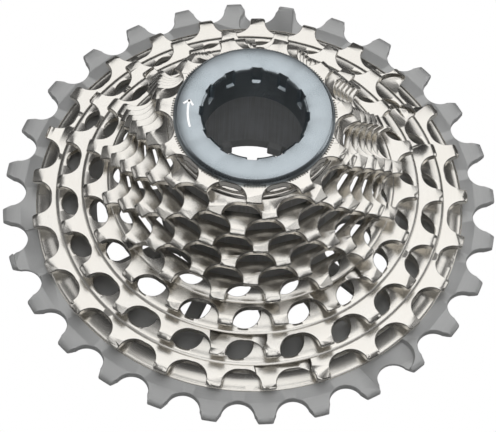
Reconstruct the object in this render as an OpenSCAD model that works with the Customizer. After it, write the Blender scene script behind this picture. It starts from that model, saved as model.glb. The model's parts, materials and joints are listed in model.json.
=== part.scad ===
// Eleven-speed road cassette sprocket, 11 to 28 teeth, with its lockring.
// Z is the axle, the back face of the largest sprocket is Z = 0 and the lockring is on top.
// The sprockets from 12 to 25 teeth make a hollow dome: each is a toothed plate with a
// windowed skirt below it, which stands face to face on the next larger sprocket. A sleeve lines it.

/* [Sprockets] */
// Pitch of the chain
chain_pitch = 12.7; // [12.7:0.1:12.7]
// Distance between neighbouring sprockets along the axle
spacing = 3.74; // [3.6:0.01:3.95]
// Thickness of the steel sprockets
plate_t = 1.6; // [1.4:0.1:1.8]
// Thickness of the largest, aluminium sprocket
back_plate_t = 1.8; // [1.6:0.1:2.2]
// Depth of an aluminium tooth gap below the pitch circle
back_root_depth = 3.9; // [3.8:0.05:4]
// Depth of a steel tooth gap below the pitch circle
root_depth = 4.05; // [4:0.05:4.2]
// Height of a steel tooth above the pitch circle on the sprockets from 17 to 25 teeth
tip_rise = 0.7; // [0.4:0.1:1]
// Height of a steel tooth above the pitch circle on the smaller sprockets
low_tip_rise = 0.1; // [0:0.1:0.5]
// Height of an aluminium tooth above the pitch circle
back_tip_rise = 1.4; // [1:0.1:1.8]
// Radius of the roller seat at the foot of a gap
seat_r = 3.9; // [3.85:0.05:4]
// How far the leading seat of a steel gap lies from the gap's middle
seat_lead = 0.8; // [0.5:0.05:1]
// Length of the flat between the two seats of a steel gap
seat_flat = 1.35; // [1:0.05:1.6]
// Radial length of the bevel at each tooth tip
tip_bevel_len = 1.1; // [0.6:0.1:1.5]
// Height of the bevel at each tooth tip
tip_bevel_h = 0.4; // [0.1:0.05:0.5]

/* [Dome] */
// Flat left between a steel sprocket's tooth gaps and the skirt that stands on it
ledge = 1; // [0.8:0.1:1.4]
// Flat left on the largest sprocket outside the dome's skirt
back_ledge = 2.5; // [2:0.1:3]
// Thickness of the dome's skirt at its top
skirt_t = 1.7; // [1.2:0.1:2]
// Upright lip at the foot of each skirt
foot_lip = 0.15; // [0.1:0.05:0.3]
// Radius of the round windows in the wide steps
window_r = 3.7; // [3:0.1:3.8]
// Metal left between a round window and the tooth roots of the sprocket that it is cut in
window_margin = 2.5; // [2.4:0.1:3]
// How far the round windows lie from the middle of the gaps, towards the shorter flanks
window_lag = 2; // [0:0.1:2]
// Width of the windows in the one-tooth steps
slot_w = 8.4; // [6:0.1:8.6]
// Metal left between a one-tooth step's window and the tooth roots outside it
slot_margin = 1.7; // [1.6:0.1:1.9]

/* [Hub splines] */
// Radius of the bore around the freehub splines
bore_r = 17.4; // [17.3:0.05:17.6]
// Radius at the tips of the inward spline teeth
spline_r = 16; // [15.9:0.05:16.2]
// Width of a spline tooth
spline_w = 3.4; // [2.8:0.1:4]
// Width of the one narrow spline tooth, which sets the angle
key_w = 2.2; // [1.8:0.1:2.6]
// Angle of the narrow spline tooth
spline_angle = 111.5; // [0:0.5:360]
// Wall of the inner sleeve between the back plate's hub and the dome's end
sleeve_t = 0.9; // [0.6:0.1:1.5]
// Outer radius of the back plate's hub
hub_r = 21; // [20:0.5:23]
// Height of the back plate's hub
hub_h = 3.2; // [3:0.1:6]
// Number of arms between hub and toothed ring
arm_count = 10; // [8:1:12]
// Width of an arm
arm_w = 3.2; // [2.6:0.1:4]
// Inner radius of the back plate's toothed ring
ring_r = 36; // [34:0.5:37]
// Radius of the fillets at the ends of an arm
arm_fillet_r = 2.2; // [1:0.1:2.6]

/* [Lockring] */
// Thread radius of the lockring's barrel
thread_r = 15.3; // [15.2:0.05:15.4]
// Length of the threaded barrel below the flange
barrel_l = 9; // [7:0.5:10]
// Radius of the bore between the tool notches
tool_r = 11.6; // [11.4:0.05:11.8]
// Radius at the bottom of the tool notches
notch_r = 12.5; // [12.3:0.05:12.8]
// Width of a tool notch
notch_w = 2.2; // [1.8:0.1:2.6]
// Depth of the tool notches from the top
notch_l = 5; // [4:0.5:7]
// Outer radius of the flange
flange_r = 18.4; // [18:0.1:18.6]
// Outer radius of the flange's flat top
flange_top_r = 17.6; // [17:0.1:17.9]
// Thickness of the flange
flange_t = 1.7; // [1.4:0.1:2.4]
// Height of the flange's bevelled rim
flange_bevel_h = 0.9; // [0.5:0.1:1.2]

/* [Hidden] */
$fn = 96;

TEETH = [28, 25, 22, 19, 17, 16, 15, 14, 13, 12, 11];
// Angle of the tooth next to the X axis on each sprocket, which times the chain's shifts
TOOTH_ANGLE = [6.4, 4.2, 1.3, 17.8, 5.7, 2.4, 22.4, 19.4, 15.8, 11.4, 11.1];
// Angles of the shift ramps on each sprocket
RAMP_ANGLE = [[-48, -160, 90], [-76, 44, 164], [-89, 31, 151], [-50, 130], [], [], [], [], [], [], []];
LAST = len(TEETH) - 1;
DOME_TOP = LAST - 1;
// The last sprocket that is two or more teeth smaller than its neighbour
LAST_WIDE = 4;

shoulder_r = 19.2;
shoulder_h = 1.1;
boss_r = 19.7;
ring_edge = 0.25;
spline_count = 9;
ramp_r = 4.8;
ramp_run = 8;
ramp_depth = 1;
ramp_tilt = atan(ramp_depth / (ramp_r + ramp_run));
// Angle of the first arm of the back plate
arm_angle = -111;
// Shallow overlaps: a cutter's reach into the next surface, and a joined piece's
nick = 0.1;
lap = 0.3;
over = 1;

steel = "#d8d3c6";
aluminium = "#8e9193";
anodised = "#b4bec6";

function pitch_r(i) = chain_pitch / 2 / sin(180 / TEETH[i]);
function root_r(i) = pitch_r(i) - (i == 0 ? back_root_depth : root_depth);
function tip_r(i) = pitch_r(i) + (i == 0 ? back_tip_rise : i > LAST_WIDE ? low_tip_rise : tip_rise);
function top_z(i) = back_plate_t + spacing * i;
function thick(i) = i == 0 ? back_plate_t : plate_t;
function gap_angle(i, k) = TOOTH_ANGLE[i] + 360 / TEETH[i] * (k + 0.5);
function foot_r(i) = root_r(i) - (i == 0 ? back_ledge : ledge);
function skirt_top_r(i) = root_r(i) - 0.3;
function skirt_in_r(i) = i == DOME_TOP ? bore_r : skirt_top_r(i) - skirt_t;
function is_wide(i) = i <= LAST_WIDE;

// One tooth gap, with its roller seat on the pitch circle and X along the pitch circle
module gap_outline(i) {
    if (i == 0) {
        translate([0, seat_r - back_root_depth]) circle(r = seat_r);
        polygon([[-3, -1.9], [-4.2, -0.1], [-4.9, 1.4], [-6, 4], [6, 4], [4.9, 1.4], [4.2, -0.1], [3, -1.9]]);
    } else {
        lag = seat_lead - seat_flat;
        seat_y = seat_r - root_depth;
        for (x = [lag, seat_lead])
            translate([x, seat_y]) circle(r = seat_r);
        polygon([
            [lag + 0.25, nick - root_depth],
            [seat_lead - 0.25, nick - root_depth],
            [seat_lead + 3.8, -0.3],
            [5.1, 0.75],
            [5.8, 3.5],
            [-5.8, 3.5],
            [-5.1, 0.75],
            [lag - 3.8, -0.3]
        ]);
    }
}

// The gaps of sprocket i, cut through its thickness
module gaps(i) {
    for (k = [0 : TEETH[i] - 1])
        rotate(gap_angle(i, k) - 90)
            translate([0, pitch_r(i), top_z(i) - thick(i) - nick])
                linear_extrude(height = thick(i) + nick + over)
                    gap_outline(i);
}

// Section of a plate from radius inner_r outwards, bevelled on both sides of its tooth tips
module plate_section(i, inner_r) {
    bevel_r = tip_r(i) - tip_bevel_len;
    translate([0, top_z(i) - thick(i)])
        polygon([
            [inner_r, 0],
            [bevel_r, 0],
            [tip_r(i), tip_bevel_h],
            [tip_r(i), thick(i) - tip_bevel_h],
            [bevel_r, thick(i)],
            [inner_r, thick(i)]
        ]);
}

// Section of the skirt below sprocket i, standing on sprocket i - 1: concave in the wide steps
module skirt_section(i) {
    h = spacing - plate_t;
    w = foot_r(i - 1) - skirt_top_r(i);
    rise = h - foot_lip;
    sweep_r = (w * w + rise * rise) / (2 * rise);
    translate([skirt_in_r(i), top_z(i - 1)])
        if (is_wide(i)) {
            difference() {
                square([foot_r(i - 1) - skirt_in_r(i), h + plate_t / 2]);
                translate([foot_r(i - 1) - skirt_in_r(i), foot_lip + sweep_r]) circle(r = sweep_r);
            }
        } else {
            square([skirt_top_r(i) - skirt_in_r(i), h + plate_t / 2]);
        }
}

// Section of a ring between two radii with bevelled outer edges
module ring_section(inner_r, outer_r, z_low, h) {
    translate([0, z_low])
        polygon([
            [inner_r, 0],
            [outer_r - ring_edge, 0],
            [outer_r, ring_edge],
            [outer_r, h - ring_edge],
            [outer_r - ring_edge, h],
            [inner_r, h]
        ]);
}

// Windows below the tooth gaps of sprocket i, from z_low up to a nick into the sprocket's back
module windows(i, z_low) {
    h = top_z(i) - plate_t + nick - z_low;
    for (k = [0 : TEETH[i] - 1])
        rotate(gap_angle(i, k))
            translate([0, 0, z_low])
                if (is_wide(i)) {
                    translate([root_r(i - 1) - window_margin - window_r, -window_lag, 0])
                        cylinder(r = window_r, h = h);
                } else {
                    slot_out_r = root_r(i - 1) - slot_margin;
                    slot_in_r = skirt_in_r(i) - over;
                    translate([slot_in_r, -slot_w / 2, 0]) cube([slot_out_r - slot_in_r, slot_w, h]);
                }
}

// A shift ramp: deep at one end and rising out of the face of sprocket i at the other
module ramps(i) {
    for (a = RAMP_ANGLE[i])
        rotate(a - 90)
            translate([0, pitch_r(i) - 4.5, top_z(i) - ramp_depth])
                rotate([0, -ramp_tilt, 0]) {
                    cylinder(r = ramp_r, h = spacing);
                    translate([0, -ramp_r, 0]) cube([ramp_run, 2 * ramp_r, spacing]);
                }
}

// The inward spline teeth that drive on the freehub
module spline_teeth(z_low, h) {
    translate([0, 0, z_low])
        linear_extrude(height = h)
            intersection() {
                difference() {
                    circle(r = bore_r + ring_edge);
                    circle(r = spline_r);
                }
                for (k = [0 : spline_count - 1])
                    rotate(spline_angle + k * 360 / spline_count)
                        translate([spline_r - over, -(k == 0 ? key_w : spline_w) / 2])
                            square([bore_r - spline_r + 2 * over, k == 0 ? key_w : spline_w]);
            }
}

// A sprocket of the dome: toothed plate and skirt, with its own windows and the next sprocket's
module dome_sprocket(i) {
    color(steel)
        difference() {
            rotate_extrude() {
                plate_section(i, skirt_in_r(i + 1));
                skirt_section(i);
            }
            gaps(i);
            if (i > 1) windows(i, top_z(i - 1) - over);
            windows(i + 1, top_z(i - 1) - over);
            ramps(i);
        }
}

// Fillets that join one arm to the hub and the ring, in the arm's own frame along X
module arm_fillets() {
    for (side = [-1, 1])
        for (end = [0, 1])
            translate([end == 0 ? hub_r - lap : ring_r + lap, side * (arm_w / 2 - lap)])
                fillet(end == 0 ? 1 : -1, side);
}

// A square with a round bite, mirrored along and across the arm as asked
module fillet(along, across) {
    size = arm_fillet_r + lap;
    mirror([along < 0 ? 1 : 0, 0])
        mirror([0, across < 0 ? 1 : 0])
            difference() {
                square(size);
                translate([size, size]) circle(r = arm_fillet_r);
            }
}

module sprocket_28() {
    color(aluminium)
        difference() {
            union() {
                rotate_extrude() plate_section(0, ring_r);
                rotate_extrude() ring_section(bore_r, hub_r, 0, hub_h);
                spline_teeth(0, hub_h);
                linear_extrude(height = back_plate_t)
                    for (k = [0 : arm_count - 1])
                        rotate(arm_angle + k * 360 / arm_count) {
                            translate([hub_r - over, -arm_w / 2]) square([ring_r - hub_r + 2 * over, arm_w]);
                            arm_fillets();
                        }
            }
            gaps(0);
            ramps(0);
        }
}

module sprocket_12() {
    i = DOME_TOP;
    boss_h = spacing - plate_t - shoulder_h;
    color(steel)
        difference() {
            rotate_extrude() {
                plate_section(i, bore_r);
                skirt_section(i);
                ring_section(bore_r, boss_r, top_z(i) - plate_t / 2, boss_h + plate_t / 2);
            }
            gaps(i);
            windows(i, top_z(i - 1) - over);
        }
}

module sprocket_11() {
    i = LAST;
    shoulder_z = top_z(i) - plate_t - shoulder_h;
    color(steel) {
        difference() {
            rotate_extrude() {
                plate_section(i, bore_r);
                ring_section(bore_r, shoulder_r, shoulder_z, shoulder_h + plate_t / 2);
            }
            gaps(i);
        }
        spline_teeth(shoulder_z, shoulder_h + plate_t);
    }
}

// The tube that lines the dome, from the back plate's hub up to the back of the 13 tooth sprocket
module inner_sleeve() {
    sleeve_top = top_z(DOME_TOP - 1) - plate_t;
    color(aluminium)
        rotate_extrude()
            ring_section(bore_r, bore_r + sleeve_t, hub_h, sleeve_top - hub_h);
}

module lockring() {
    seat_z = top_z(LAST);
    top = seat_z + flange_t;
    color(anodised)
        difference() {
            rotate_extrude()
                polygon([
                    [tool_r, seat_z - barrel_l],
                    [thread_r - 0.6, seat_z - barrel_l],
                    [thread_r, seat_z - barrel_l + 0.6],
                    [thread_r, seat_z],
                    [flange_r, seat_z],
                    [flange_r, top - flange_bevel_h],
                    [flange_top_r, top],
                    [tool_r + 0.6, top],
                    [tool_r, top - 0.6]
                ]);
            for (k = [0 : 11])
                rotate(90 + k * 30)
                    translate([0, -notch_w / 2, top - notch_l])
                        cube([notch_r, notch_w, notch_l + over]);
        }
}

sprocket_28();
dome_sprocket(1);  // sprocket_25
dome_sprocket(2);  // sprocket_22
dome_sprocket(3);  // sprocket_19
dome_sprocket(4);  // sprocket_17
dome_sprocket(5);  // sprocket_16
dome_sprocket(6);  // sprocket_15
dome_sprocket(7);  // sprocket_14
dome_sprocket(8);  // sprocket_13
sprocket_12();
sprocket_11();
inner_sleeve();
lockring();
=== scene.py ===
"""Looks of an eleven-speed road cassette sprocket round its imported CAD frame.

Metres throughout. Z is the axle, the largest sprocket lies at the bottom and the lockring is on top.
"""

import json
import math

import bmesh
import bpy
from mathutils import Matrix, Vector


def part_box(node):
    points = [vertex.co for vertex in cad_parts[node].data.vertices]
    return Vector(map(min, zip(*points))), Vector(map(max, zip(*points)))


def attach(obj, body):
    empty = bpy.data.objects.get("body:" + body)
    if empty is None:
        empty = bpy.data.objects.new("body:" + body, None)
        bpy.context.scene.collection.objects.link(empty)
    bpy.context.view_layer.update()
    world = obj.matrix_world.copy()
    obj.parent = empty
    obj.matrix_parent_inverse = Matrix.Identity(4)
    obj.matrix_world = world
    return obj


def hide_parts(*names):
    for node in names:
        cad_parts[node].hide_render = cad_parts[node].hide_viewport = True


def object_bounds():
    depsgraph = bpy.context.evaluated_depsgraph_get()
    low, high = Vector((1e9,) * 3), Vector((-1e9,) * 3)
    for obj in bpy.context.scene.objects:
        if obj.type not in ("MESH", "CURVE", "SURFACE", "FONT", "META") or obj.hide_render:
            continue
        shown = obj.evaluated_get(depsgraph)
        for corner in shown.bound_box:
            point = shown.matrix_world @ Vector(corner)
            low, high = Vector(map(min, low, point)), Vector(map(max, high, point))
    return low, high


MM = 0.001
WELD = 1e-7
EDGE_ANGLE = math.radians(28)
STEEL_EDGE = 0.16 * MM
ALUMINIUM_EDGE = 0.16 * MM

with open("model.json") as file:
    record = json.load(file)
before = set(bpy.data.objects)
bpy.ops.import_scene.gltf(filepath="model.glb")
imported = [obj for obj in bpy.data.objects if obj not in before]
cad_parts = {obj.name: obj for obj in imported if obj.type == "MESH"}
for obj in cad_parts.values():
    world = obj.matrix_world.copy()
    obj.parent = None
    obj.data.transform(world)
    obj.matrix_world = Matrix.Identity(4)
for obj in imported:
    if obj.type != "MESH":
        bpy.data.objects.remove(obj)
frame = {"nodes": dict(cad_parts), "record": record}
cad_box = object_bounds()
nodes = frame["nodes"]
body_of_node = {
    name: body
    for body, members in frame["record"]["behaviour"]["bodies"].items()
    for name in members
}


# --- Camera and studio ---------------------------------------------------------------------------

CAMERA_ELEVATION = math.radians(58.34)
CAMERA_ROLL = math.radians(3.14)
CAMERA_DISTANCE = 0.7598
CAMERA_TARGET = Vector((-0.0002, -0.01325, 0.018))
CAMERA_LENS = 240


def make_camera():
    """The camera looks along +Y and down, with a slight roll."""
    back = Vector((0, -math.cos(CAMERA_ELEVATION), math.sin(CAMERA_ELEVATION)))
    side = Vector((1, 0, 0))
    up = back.cross(side)
    turned_side = math.cos(CAMERA_ROLL) * side + math.sin(CAMERA_ROLL) * up
    turned_up = back.cross(turned_side)
    data = bpy.data.cameras.new("camera")
    data.lens = CAMERA_LENS
    data.sensor_width = 36
    data.sensor_fit = "HORIZONTAL"
    camera = bpy.data.objects.new("camera", data)
    bpy.context.scene.collection.objects.link(camera)
    place = Matrix((turned_side, turned_up, back)).transposed().to_4x4()
    place.translation = CAMERA_TARGET + back * CAMERA_DISTANCE
    camera.matrix_world = place
    bpy.context.scene.camera = camera


def softbox(name, azimuth, elevation, distance, size, power):
    """A square area light that faces the middle of the object; azimuth 0 is behind it, at +Y."""
    a, e = math.radians(azimuth), math.radians(elevation)
    back = Vector((math.sin(a) * math.cos(e), math.cos(a) * math.cos(e), math.sin(e)))
    data = bpy.data.lights.new(name, "AREA")
    data.shape = "SQUARE"
    data.size = size
    data.energy = power
    light = bpy.data.objects.new(name, data)
    bpy.context.scene.collection.objects.link(light)
    light.location = Vector((0, 0, 0.02)) + back * distance
    light.rotation_euler = back.to_track_quat("Z", "Y").to_euler()
    return light


def make_world():
    """Surroundings that metal reflects: a bright ceiling above dark walls and ground."""
    world = bpy.data.worlds.new("studio")
    bpy.context.scene.world = world
    world.use_nodes = True
    tree = world.node_tree
    background = tree.nodes["Background"]
    coords = tree.nodes.new("ShaderNodeTexCoord")
    split = tree.nodes.new("ShaderNodeSeparateXYZ")
    ramp = tree.nodes.new("ShaderNodeValToRGB")
    remap = tree.nodes.new("ShaderNodeMapRange")
    remap.inputs["From Min"].default_value = -1
    tree.links.new(coords.outputs["Generated"], split.inputs[0])
    tree.links.new(split.outputs["Z"], remap.inputs["Value"])
    tree.links.new(remap.outputs[0], ramp.inputs["Fac"])
    tree.links.new(ramp.outputs["Color"], background.inputs["Color"])
    stops = ramp.color_ramp.elements
    stops[0].position, stops[0].color = 0.0, (0.01, 0.01, 0.01, 1)
    stops[1].position, stops[1].color = 1.0, (0.34, 0.34, 0.34, 1)
    for position, grey in ((0.52, 0.03), (0.70, 0.05), (0.84, 0.09), (0.93, 0.15)):
        stop = stops.new(position)
        stop.color = (grey, grey, grey * 1.01, 1)
    background.inputs["Strength"].default_value = 1.0


def make_backdrop():
    """A seamless white surround that only the camera sees."""
    white = bpy.data.materials.new("backdrop_white")
    white.use_nodes = True
    shader = white.node_tree.nodes["Principled BSDF"]
    shader.inputs["Base Color"].default_value = (0, 0, 0, 1)
    shader.inputs["Specular IOR Level"].default_value = 0
    shader.inputs["Emission Color"].default_value = (1, 1, 1, 1)
    shader.inputs["Emission Strength"].default_value = 1.0
    surround = bmesh.new()
    bmesh.ops.create_icosphere(surround, subdivisions=4, radius=3)
    floor = bmesh.new()
    bmesh.ops.create_circle(floor, cap_ends=True, segments=64, radius=1.5)
    for name, mesh, height in (("surround", surround, 0), ("floor", floor, cad_box[0].z - 0.2 * MM)):
        data = bpy.data.meshes.new(name)
        mesh.to_mesh(data)
        mesh.free()
        data.materials.append(white)
        piece = bpy.data.objects.new(name, data)
        piece.location.z = height
        bpy.context.scene.collection.objects.link(piece)
        piece.visible_diffuse = False
        piece.visible_glossy = False
        piece.visible_transmission = False
        piece.visible_shadow = False
    make_bounce_floor()


def make_bounce_floor():
    """A pale floor, hidden from the camera, that shades the hollow dome and reflects in the skirts."""
    paper = bpy.data.materials.new("floor_paper")
    paper.use_nodes = True
    shader = paper.node_tree.nodes["Principled BSDF"]
    shader.inputs["Base Color"].default_value = (0.62, 0.62, 0.62, 1)
    shader.inputs["Roughness"].default_value = 0.8
    disc = bmesh.new()
    bmesh.ops.create_circle(disc, cap_ends=True, segments=64, radius=1.5)
    data = bpy.data.meshes.new("bounce_floor")
    disc.to_mesh(data)
    disc.free()
    data.materials.append(paper)
    piece = bpy.data.objects.new("bounce_floor", data)
    piece.location.z = cad_box[0].z - 0.1 * MM
    bpy.context.scene.collection.objects.link(piece)
    piece.visible_camera = False


# --- Materials -----------------------------------------------------------------------------------

class Nodes:
    """Short names for adding and joining shader nodes."""

    def __init__(self, name):
        self.material = bpy.data.materials.new(name)
        self.material.use_nodes = True
        self.tree = self.material.node_tree
        self.shader = self.tree.nodes["Principled BSDF"]
        coords = self.add("ShaderNodeTexCoord")
        self.place = coords.outputs["Object"]

    def add(self, kind, **settings):
        node = self.tree.nodes.new(kind)
        for key, value in settings.items():
            setattr(node, key, value)
        return node

    def join(self, source, target):
        self.tree.links.new(source, target)

    def math(self, operation, a, b=0.0):
        node = self.add("ShaderNodeMath", operation=operation)
        for socket, value in zip(node.inputs, (a, b)):
            if isinstance(value, (int, float)):
                socket.default_value = value
            else:
                self.join(value, socket)
        return node.outputs[0]

    def noise(self, vector, scale, detail=3.0, roughness=0.55):
        node = self.add("ShaderNodeTexNoise")
        node.inputs["Scale"].default_value = scale
        node.inputs["Detail"].default_value = detail
        node.inputs["Roughness"].default_value = roughness
        self.join(vector, node.inputs["Vector"])
        return node.outputs["Fac"]

    def turned(self, across, along):
        """Coordinates that run round the axle, so that noise becomes turning marks."""
        split = self.add("ShaderNodeSeparateXYZ")
        self.join(self.place, split.inputs[0])
        x, y, z = split.outputs
        squares = [self.math("MULTIPLY", side, side) for side in (x, y)]
        radius = self.math("SQRT", self.math("ADD", *squares))
        joined = self.add("ShaderNodeCombineXYZ")
        self.join(self.math("MULTIPLY", radius, across), joined.inputs[0])
        self.join(self.math("MULTIPLY", self.math("ARCTAN2", y, x), along), joined.inputs[1])
        self.join(self.math("MULTIPLY", z, across), joined.inputs[2])
        return joined.outputs[0]

    def ramp(self, value, low, high, start=0.3, end=0.7):
        """Colours or numbers between low and high as value goes from start to end."""
        if isinstance(low, tuple):
            node = self.add("ShaderNodeValToRGB")
            first, last = node.color_ramp.elements
            first.position, first.color = start, (*low, 1)
            last.position, last.color = end, (*high, 1)
            self.join(value, node.inputs["Fac"])
            return node.outputs["Color"]
        node = self.add("ShaderNodeMapRange")
        for key, number in (("From Min", start), ("From Max", end), ("To Min", low), ("To Max", high)):
            node.inputs[key].default_value = number
        self.join(value, node.inputs["Value"])
        return node.outputs[0]

    def bump(self, height, distance, strength):
        node = self.add("ShaderNodeBump")
        node.inputs["Strength"].default_value = strength
        node.inputs["Distance"].default_value = distance
        self.join(height, node.inputs["Height"])
        self.join(node.outputs[0], self.shader.inputs["Normal"])


# Noise periods across and round the axle: turned parts have rings, drawn tubes have streaks along them
TURNED = (9000, 6)
DRAWN = (60, 40)


def metal(name, light, dark, smooth, rough, grain=0.25, marks=0.5, flow=TURNED, metallic=1.0):
    """Metal with turning or drawing marks, cloudy tint, uneven gloss and a fine grain."""
    look = Nodes(name)
    look.shader.inputs["Metallic"].default_value = metallic
    cloud = look.noise(look.place, 90)
    rings = look.noise(look.turned(*flow), 1, detail=2)
    speck = look.noise(look.place, 6000, detail=2)
    clouded = look.math("MULTIPLY", cloud, 1 - marks * 0.5)
    tone = look.math("ADD", clouded, look.math("MULTIPLY", rings, marks * 0.5))
    look.join(look.ramp(tone, dark, light, 0.36, 0.62), look.shader.inputs["Base Color"])
    gloss = look.math("ADD", look.math("MULTIPLY", cloud, 0.6), look.math("MULTIPLY", speck, 0.4))
    look.join(look.ramp(gloss, smooth, rough, 0.35, 0.65), look.shader.inputs["Roughness"])
    height = look.math("ADD", look.math("MULTIPLY", speck, 0.5), look.math("MULTIPLY", rings, marks))
    look.bump(height, 0.00001, grain)
    return look.material


def make_materials():
    """Light and dark tint, then smooth and rough gloss, of every finish and of its chamfers; the lighter
    tints of the steel and lockring chamfers are painted highlights.
    """
    return {
        "dome_steel": metal(
            "satin_nickel_steel", (0.87, 0.845, 0.795), (0.81, 0.78, 0.725),
            0.20, 0.29),
        # Steel chamfers: smoother gloss, and a lighter, whiter tint that is a painted highlight along
        # every edge
        "dome_steel_edge": metal(
            "steel_chamfer_painted_highlight", (0.93, 0.92, 0.90), (0.88, 0.87, 0.84),
            0.14, 0.24),
        "back_plate": metal(
            "grey_anodised", (0.74, 0.745, 0.74), (0.68, 0.685, 0.68),
            0.46, 0.56, 0.4, 0.8, metallic=0.4),
        "back_plate_edge": metal(
            "grey_anodised_edge", (0.66, 0.665, 0.67), (0.58, 0.585, 0.59),
            0.30, 0.40),
        "lockring_anodised": metal(
            "clear_anodised", (0.51, 0.565, 0.60), (0.44, 0.495, 0.53),
            0.24, 0.34, 0.3, 0.8),
        "sleeve_aluminium": metal(
            "drawn_tube", (0.86, 0.87, 0.89), (0.66, 0.66, 0.65),
            0.28, 0.36, 0.2, 1.0, DRAWN, metallic=0.25),
        "sleeve_aluminium_edge": metal(
            "drawn_tube_edge", (0.70, 0.70, 0.71), (0.62, 0.62, 0.63),
            0.20, 0.30),
        "mark": metal(
            "pale_mark", (0.97, 0.97, 0.97), (0.93, 0.93, 0.93),
            0.16, 0.22),
        # Lockring chamfers: a much lighter tint, a painted highlight on every edge and on the bore
        # chamfer
        "lockring_anodised_edge": metal(
            "lockring_chamfer_painted_highlight", (0.85, 0.87, 0.90), (0.78, 0.80, 0.84),
            0.16, 0.25),
    }


# --- Mesh work -----------------------------------------------------------------------------------

def welded(node):
    """The node's mesh as one closed bmesh."""
    mesh = bmesh.new()
    mesh.from_mesh(nodes[node].data)
    bmesh.ops.remove_doubles(mesh, verts=mesh.verts, dist=WELD)
    for face in mesh.faces:
        face.material_index = 0
    return mesh


def carved(mesh, cutter):
    """The mesh with the cutter's volume taken away."""
    parts = []
    for source in (mesh, cutter):
        data = bpy.data.meshes.new("carving")
        source.to_mesh(data)
        source.free()
        part = bpy.data.objects.new("carving", data)
        bpy.context.scene.collection.objects.link(part)
        parts.append(part)
    body, tool = parts
    modifier = body.modifiers.new("cut", "BOOLEAN")
    modifier.operation = "DIFFERENCE"
    modifier.solver = "EXACT"
    modifier.object = tool
    result = bmesh.new()
    result.from_object(body, bpy.context.evaluated_depsgraph_get())
    for part in parts:
        bpy.data.objects.remove(part)
    bmesh.ops.remove_doubles(result, verts=result.verts, dist=WELD)
    return result


def break_edges(mesh, width):
    """Chamfers every sharp edge inside the mesh's own box, and gives the chamfers the edge material,
    whose lighter tint on steel and on the lockring is a painted highlight.
    """
    low, high = (
        Vector(pick(v.co[axis] for v in mesh.verts) for axis in range(3)) for pick in (min, max))
    sharp = [e for e in mesh.edges if e.is_manifold and e.calc_face_angle() > EDGE_ANGLE]
    bmesh.ops.bevel(mesh, geom=sharp, offset=width, offset_type="OFFSET", segments=1, profile=0.5,
                    affect="EDGES", clamp_overlap=False, material=1)
    for vert in mesh.verts:
        vert.co = (min(max(c, a), b) for c, a, b in zip(vert.co, low, high))


def turned_at(degrees, radius, z):
    """Frame on a sprocket: X runs backwards round it, Y outwards and Z up."""
    turn = Matrix.Rotation(math.radians(degrees - 90), 4, "Z")
    return turn @ Matrix.Translation((0, radius, z))


def add_block(mesh, place, low, high):
    """Adds a closed block between two corners of a local frame."""
    sides = list(zip(low, high))
    corners = [(x, y, z) for x in sides[0] for y in sides[1] for z in sides[2]]
    made = bmesh.ops.convex_hull(mesh, input=[mesh.verts.new(place @ Vector(c)) for c in corners])
    bmesh.ops.delete(mesh, geom=[g for g in made["geom_unused"] if isinstance(g, bmesh.types.BMVert)])


def revolved(mesh, profile, steps=192):
    """Adds a closed ring with a profile of (radius, z) corners."""
    rings = []
    for n in range(steps):
        a = 2 * math.pi * n / steps
        rings.append([mesh.verts.new((r * math.cos(a), r * math.sin(a), z)) for r, z in profile])
    for n, ring in enumerate(rings):
        following = rings[(n + 1) % steps]
        for c in range(len(profile)):
            d = (c + 1) % len(profile)
            mesh.faces.new((ring[c], following[c], following[d], ring[d]))
    bmesh.ops.recalc_face_normals(mesh, faces=mesh.faces)


def finish_piece(name, mesh, body, slot, replaced=None):
    """Turns a bmesh into a smooth-shaded piece that rides on a body."""
    data = bpy.data.meshes.new(name)
    mesh.to_mesh(data)
    mesh.free()
    data.materials.clear()
    data.materials.append(materials[slot])
    data.materials.append(materials[slot + "_edge"])
    data.shade_smooth()
    data.set_sharp_from_angle(angle=EDGE_ANGLE)
    piece = bpy.data.objects.new(name, data)
    bpy.context.scene.collection.objects.link(piece)
    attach(piece, body)
    if replaced:
        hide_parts(replaced)
    return piece


# --- Sprockets -----------------------------------------------------------------------------------

# Angle in degrees of the tooth next to the X axis on each sprocket
TOOTH_ANGLE = {
    25: 4.2, 22: 1.3, 19: 17.8, 17: 5.7, 16: 2.4,
    15: 22.4, 14: 19.4, 13: 15.8, 12: 11.4, 11: 11.1,
}
FACET_TILT = math.radians(15)
FACET_SLANT = math.radians(20)
FACET_LENGTH = {True: 1.8 * MM, False: 1.1 * MM}
BACK_PLATE_T = 1.8 * MM
SPACING = 3.74 * MM


def tip_cutter(teeth, tip_radius, top):
    """Blocks that cut a slanted facet on the outer face of each tooth tip, long on every other tooth."""
    cutter = bmesh.new()
    for k in range(teeth):
        is_long = k % 2 == 0
        angle = TOOTH_ANGLE[teeth] + 360 / teeth * k
        place = turned_at(angle, tip_radius - FACET_LENGTH[is_long], top)
        place = place @ Matrix.Rotation(FACET_SLANT if is_long else -FACET_SLANT / 2, 4, "Z")
        place = place @ Matrix.Rotation(-FACET_TILT, 4, "X")
        add_block(cutter, place, (-4 * MM, 0, 0), (4 * MM, 5 * MM, 2 * MM))
    return cutter


def make_steel_sprocket(teeth, top):
    """A steel sprocket with slanted tooth tips and broken edges, whose outer face lies at a height."""
    node = f"sprocket_{teeth}"
    low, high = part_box(node)
    tip_radius = max(high.x, high.y, -low.x, -low.y)
    mesh = carved(welded(node), tip_cutter(teeth, tip_radius, top))
    break_edges(mesh, STEEL_EDGE)
    finish_piece(node + "_finished", mesh, body_of_node[node], "dome_steel", node)


def make_aluminium_piece(node, slot):
    """An aluminium node with broken edges."""
    mesh = welded(node)
    break_edges(mesh, ALUMINIUM_EDGE)
    finish_piece(node + "_finished", mesh, body_of_node[node], slot, node)


# --- Seat serrations and lockring ----------------------------------------------------------------

SERRATIONS = 180
SERRATION_IN = 18.2 * MM
SERRATION_OUT = 18.95 * MM
SERRATION_RISE = 0.25 * MM
# Share of the pitch from a ridge's crest to its foot
SERRATION_HALF = 0.42
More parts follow.
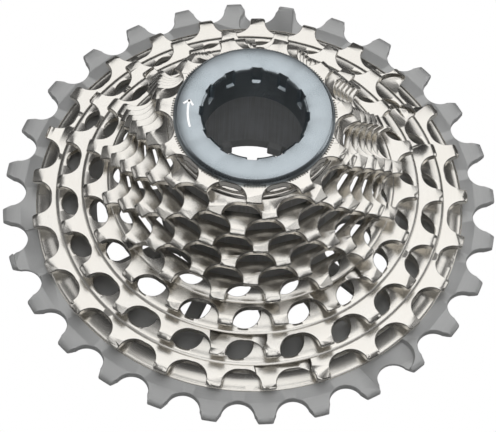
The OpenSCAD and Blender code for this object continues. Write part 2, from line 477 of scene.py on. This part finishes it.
# Degrees on each side of a tooth gap's middle that have no face to carry ridges
GAP_HALF_ANGLE = 8.5
LOCKRING_EDGE = 0.12 * MM
BORE_R = 11.6 * MM
BORE_CHAMFER = 0.6 * MM
THREAD_R = 15.3 * MM
THREAD_START = 0.6 * MM
THREAD_STOP = 0.2 * MM
# How far hidden feet reach into the part below them
ROOT = 0.05 * MM
DEEP_ROOT = 0.1 * MM
# Tolerance for finding faces by their place
NEAR = 0.1 * MM
THREAD_DEPTH = 0.45 * MM
THREAD_LEAD = 25.4 / 24 * MM
THREAD_STEPS = 72
ARROW_RADIUS = 15.1 * MM
ARROW_FROM = 198
ARROW_TO = 170
ARROW_WIDTH = 0.5 * MM
ARROW_HEAD = 1.7 * MM
ARROW_TIP = 0.1 * MM
ARROW_RISE = 0.04 * MM
ARROW_STEPS = 16
# Degrees between the arrow's line and each stroke of its head
ARROW_SPREAD = 42


def make_seat_serrations():
    """Radial ridges on the end sprocket's face, which the lockring bites on."""
    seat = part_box("sprocket_11")[1].z
    pitch = 360 / SERRATIONS
    gap_pitch = 360 / 11
    mesh = bmesh.new()
    for n in range(SERRATIONS):
        angle = n * pitch
        off_tooth = (angle - TOOTH_ANGLE[11] + gap_pitch / 2) % gap_pitch - gap_pitch / 2
        if abs(off_tooth) > gap_pitch / 2 - GAP_HALF_ANGLE:
            continue
        place = turned_at(angle, 0, seat)
        half = math.radians(pitch) * SERRATION_HALF
        corners = []
        for radius, rise in ((SERRATION_IN, SERRATION_RISE), (SERRATION_OUT, SERRATION_RISE * 0.5)):
            corners += [(side * half * radius, radius, -DEEP_ROOT) for side in (-1, 1)]
            corners.append((0, radius, rise))
        bmesh.ops.convex_hull(mesh, input=[mesh.verts.new(place @ Vector(c)) for c in corners])
    finish_piece("sprocket_11_seat_serrations", mesh, body_of_node["sprocket_11"], "dome_steel")


def thread_ridge(radius, low, high):
    """A triangular ridge that winds up the lockring's barrel."""
    mesh = bmesh.new()
    turns = (high - low) / THREAD_LEAD
    half = THREAD_LEAD * 0.46
    rings = []
    for n in range(round(turns * THREAD_STEPS) + 1):
        a = 2 * math.pi * n / THREAD_STEPS
        z = low + THREAD_LEAD * n / THREAD_STEPS
        core = radius - THREAD_DEPTH - ROOT
        section = ((core, z - half), (radius, z), (core, z + half))
        rings.append([mesh.verts.new((r * math.cos(a), r * math.sin(a), h)) for r, h in section])
    for ring, following in zip(rings, rings[1:]):
        for c in range(3):
            d = (c + 1) % 3
            mesh.faces.new((ring[c], following[c], following[d], ring[d]))
    mesh.faces.new(rings[0])
    mesh.faces.new(rings[-1])
    bmesh.ops.recalc_face_normals(mesh, faces=mesh.faces)
    return mesh


def make_lockring():
    """The lockring, whose bore chamfer gets the lighter edge tint as a painted highlight, and its thread
    as a ridge round a slimmer barrel.
    """
    low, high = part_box("lockring")
    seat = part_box("sprocket_11")[1].z
    thread_low, thread_high = low.z + THREAD_START, seat - THREAD_STOP
    core, clear = THREAD_R - THREAD_DEPTH, THREAD_R + 1 * MM
    cutter = bmesh.new()
    corners = ((core, thread_low), (clear, thread_low), (clear, thread_high), (core, thread_high))
    revolved(cutter, corners)
    mesh = carved(welded("lockring"), cutter)
    break_edges(mesh, LOCKRING_EDGE)
    # The bore chamfer's faces take the lighter edge material, a painted highlight
    for face in mesh.faces:
        middle = face.calc_center_median()
        near_bore = middle.to_2d().length < BORE_R + BORE_CHAMFER + NEAR
        near_top = middle.z > high.z - BORE_CHAMFER - NEAR
        if near_bore and near_top and 0.3 < face.normal.z < 0.95:
            face.material_index = 1
    body = body_of_node["lockring"]
    finish_piece("lockring_finished", mesh, body, "lockring_anodised", "lockring")
    ridge = thread_ridge(THREAD_R, thread_low + THREAD_LEAD / 2, thread_high - THREAD_LEAD / 2)
    finish_piece("lockring_thread", ridge, body, "lockring_anodised")
    make_arrow(high.z, body)


def make_arrow(top, body):
    """A thin raised arrow that shows which way the lockring tightens."""
    mesh = bmesh.new()
    sweep = ARROW_TO - ARROW_FROM
    for n in range(ARROW_STEPS):
        a, b = (ARROW_FROM + sweep * (n + step) / ARROW_STEPS for step in (0, 1))
        corners = []
        for angle in (a, b):
            for radius in (ARROW_RADIUS - ARROW_WIDTH / 2, ARROW_RADIUS + ARROW_WIDTH / 2):
                x, y = radius * math.cos(math.radians(angle)), radius * math.sin(math.radians(angle))
                corners += [(x, y, top - ROOT), (x, y, top + ARROW_RISE)]
        bmesh.ops.convex_hull(mesh, input=[mesh.verts.new(c) for c in corners])
    point = turned_at(ARROW_TO, ARROW_RADIUS, top)
    for side in (-1, 1):
        place = point @ Matrix.Rotation(math.radians(-90 + side * ARROW_SPREAD), 4, "Z")
        low = (-ARROW_WIDTH / 2, -ARROW_HEAD, -ROOT)
        add_block(mesh, place, low, (ARROW_WIDTH / 2, ARROW_TIP, ARROW_RISE))
    arrow = finish_piece("lockring_arrow", mesh, body, "lockring_anodised")
    arrow.data.materials[0] = materials["mark"]


make_camera()
make_world()
make_backdrop()
softbox("key", 10, 60, 0.9, 0.72, 1.6)
softbox("front", 178, 72, 0.9, 0.6, 0.9)
softbox("left", -80, 30, 0.8, 0.4, 0.3)
softbox("right", 75, 25, 0.8, 0.4, 0.5)
bpy.context.scene.view_settings.view_transform = "Standard"

materials = make_materials()
make_aluminium_piece("sprocket_28", "back_plate")
make_aluminium_piece("inner_sleeve", "sleeve_aluminium")
for step, teeth in enumerate(TOOTH_ANGLE, 1):
    make_steel_sprocket(teeth, BACK_PLATE_T + SPACING * step)
make_seat_serrations()
make_lockring()
